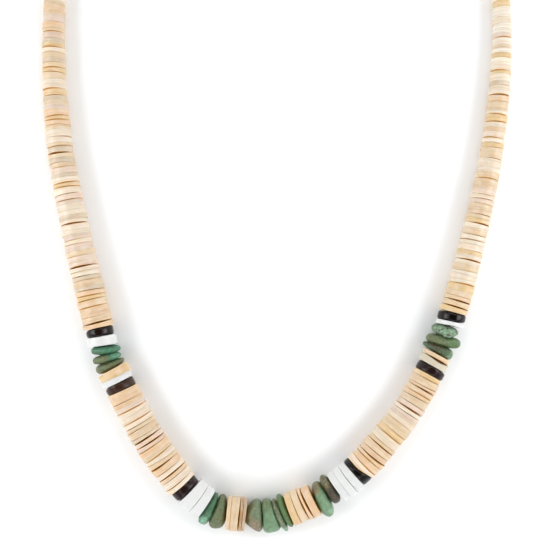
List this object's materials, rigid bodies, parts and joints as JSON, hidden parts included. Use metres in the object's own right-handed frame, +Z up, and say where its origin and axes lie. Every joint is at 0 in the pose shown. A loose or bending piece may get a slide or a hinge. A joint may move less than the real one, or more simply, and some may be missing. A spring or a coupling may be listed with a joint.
{
  "type": "graduated bead necklace",
  "caption": "Graduated disc-bead necklace laid in a long oval: shell discs, white and black accent discs and irregular green turquoise pieces, closed by a plain barrel clasp.",
  "frame": {"origin": "centre of the necklace's outline on the surface it lies on", "axes": "+Z up from that surface, +Y from the front's large beads towards the clasp at the back of the neck, +X to the right as seen from above"},
  "size_m": [0.1274, 0.2022, 0.0092],
  "materials": {
    "warm_shell": "hand-cut melon shell, tumbled to a soft sheen",
    "white_shell": "white shell, tumbled smooth",
    "black_shell": "polished black pen shell",
    "green_turquoise": "hand-cut green turquoise, tumble polished",
    "blue_green_turquoise": "hand-cut blue-green turquoise, tumble polished",
    "brown_matrix_turquoise": "turquoise with brown host rock, tumble polished",
    "silver": "turned silver, worn by handling",
    "beading_thread": "waxed twisted beading thread"
  },
  "bodies": {
    "root": {"tan_disc_1": "warm_shell", "tan_disc_2": "warm_shell", "tan_disc_3": "warm_shell", "tan_disc_4": "warm_shell", "tan_disc_5": "warm_shell", "tan_disc_6": "warm_shell", "tan_disc_7": "warm_shell", "tan_disc_8": "warm_shell", "tan_disc_9": "warm_shell", "tan_disc_10": "warm_shell", "white_disc_1": "white_shell", "white_disc_2": "white_shell", "white_disc_3": "white_shell", "white_disc_4": "white_shell", "white_disc_5": "white_shell", "white_disc_6": "white_shell", "white_disc_7": "white_shell", "white_disc_8": "white_shell", "white_disc_9": "white_shell", "black_disc_1": "black_shell", "black_disc_2": "black_shell", "black_disc_3": "black_shell", "black_disc_4": "black_shell", "black_disc_5": "black_shell", "black_disc_6": "black_shell", "turquoise_1": "brown_matrix_turquoise", "turquoise_2": "green_turquoise", "turquoise_3": "blue_green_turquoise", "turquoise_4": "brown_matrix_turquoise", "turquoise_5": "green_turquoise", "turquoise_6": "blue_green_turquoise", "turquoise_7": "blue_green_turquoise", "turquoise_8": "green_turquoise", "turquoise_9": "green_turquoise", "turquoise_10": "blue_green_turquoise", "turquoise_11": "brown_matrix_turquoise", "turquoise_12": "green_turquoise", "turquoise_13": "brown_matrix_turquoise", "turquoise_14": "green_turquoise", "lower_left_discs": "warm_shell", "lower_right_discs": "warm_shell", "upper_left_discs": "warm_shell", "upper_right_discs": "warm_shell", "left_back_string": "warm_shell", "right_back_string": "warm_shell", "thread": "beading_thread", "barrel_clasp": "silver"}
  },
  "joints": []
}
